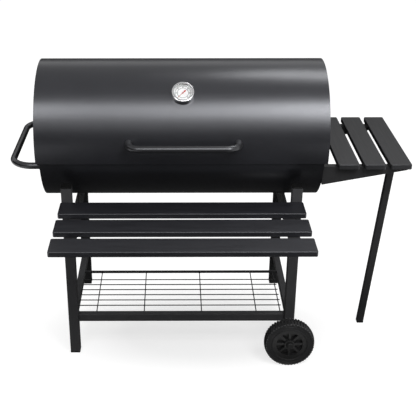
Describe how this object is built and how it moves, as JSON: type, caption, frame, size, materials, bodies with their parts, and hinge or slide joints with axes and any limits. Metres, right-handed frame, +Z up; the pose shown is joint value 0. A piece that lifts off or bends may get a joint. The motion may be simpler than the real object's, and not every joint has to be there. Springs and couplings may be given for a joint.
{
  "type": "barrel charcoal grill",
  "caption": "Barrel charcoal grill on a trolley with one wheel, with a hinged lid, dial thermometer, push handle, wire shelf, slatted front bench and propped slatted side table.",
  "frame": {"origin": "On the floor, under the middle of the bounding box.", "axes": "+X is the user's right, towards the side table; +Y is the rear, where the lid hinges; +Z is up."},
  "size_m": [1.3946, 0.906, 1.05],
  "materials": {
    "barrel_coat": "black satin heat-proof coat",
    "frame_coat": "black satin powder coat",
    "slat_paint": "dark painted boards",
    "cap_plastic": "black moulded plastic",
    "tyre": "matt rubber",
    "zinc_steel": "zinc-plated steel",
    "chrome": "bright plated",
    "coal_steel": "dark bare steel",
    "dial_white": "white enamel",
    "needle_red": "red lacquer",
    "lens": "clear flat lens"
  },
  "bodies": {
    "trolley": {"axle": "zinc_steel", "bench_bracket_left": "frame_coat", "bench_bracket_right": "frame_coat", "bench_slat_back": "slat_paint", "bench_slat_front": "slat_paint", "bench_slat_middle": "slat_paint", "bracket_bolts": "zinc_steel", "charcoal_grate": "coal_steel", "cooking_grate_left": "chrome", "cooking_grate_right": "chrome", "cradles": "frame_coat", "feet": "cap_plastic", "grate_ledges": "frame_coat", "hinge_lower_leaves": "barrel_coat", "hinge_pins": "zinc_steel", "intake_rivet": "zinc_steel", "leg_caps": "cap_plastic", "leg_front_left": "frame_coat", "leg_front_right": "frame_coat", "leg_rear_left": "frame_coat", "leg_rear_right": "frame_coat", "lower_end_left": "barrel_coat", "lower_end_right": "barrel_coat", "lower_shell": "barrel_coat", "prop_leg": "frame_coat", "push_handle": "frame_coat", "push_handle_bolts": "zinc_steel", "shelf_back_rail": "frame_coat", "shelf_front_rail": "frame_coat", "side_rail_left": "frame_coat", "side_rail_right": "frame_coat", "slat_screws": "zinc_steel", "table_bracket_front": "frame_coat", "table_bracket_rear": "frame_coat", "table_slat_inner": "slat_paint", "table_slat_middle": "slat_paint", "table_slat_outer": "slat_paint", "top_rail_left": "frame_coat", "top_rail_right": "frame_coat", "wire_shelf": "frame_coat"},
    "lid": {"lid_shell": "barrel_coat", "lid_end_left": "barrel_coat", "lid_end_right": "barrel_coat", "lid_handle": "frame_coat", "lid_handle_bolts": "zinc_steel", "hinge_upper_leaves": "barrel_coat", "thermometer_cup": "cap_plastic", "thermometer_bezel": "chrome", "thermometer_glass": "lens", "thermometer_dial": "dial_white", "thermometer_stem": "zinc_steel", "thermometer_nut": "zinc_steel", "exhaust_rivet": "zinc_steel"},
    "needle": {"thermometer_needle": "needle_red"},
    "wheel": {"wheel_tyre": "tyre", "wheel_rim": "cap_plastic"},
    "intake_vent": {"intake_damper": "barrel_coat"},
    "exhaust_vent": {"exhaust_damper": "barrel_coat"}
  },
  "joints": [
    {"name": "lid_hinge", "type": "hinge", "parent": "trolley", "child": "lid", "pos_m": [-0.09525, 0.43071, 0.85334], "axis": [-1, 0, 0], "range_deg": [0, 95]},
    {"name": "wheel_spin", "type": "hinge", "parent": "trolley", "child": "wheel", "pos_m": [0.29775, -0.15545, 0.092], "axis": [0, 1, 0], "continuous": true},
    {"name": "needle_turn", "type": "hinge", "parent": "lid", "child": "needle", "pos_m": [-0.09155, 0.01253, 0.98274], "axis": [0, 0.6871, -0.7266], "range_deg": [0, 270]},
    {"name": "intake_turn", "type": "hinge", "parent": "trolley", "child": "intake_vent", "pos_m": [-0.58525, 0.18155, 0.679], "axis": [-1, 0, 0], "range_deg": [0, 60]},
    {"name": "exhaust_turn", "type": "hinge", "parent": "lid", "child": "exhaust_vent", "pos_m": [0.40475, 0.18155, 0.924], "axis": [1, 0, 0], "range_deg": [0, 60]}
  ]
}
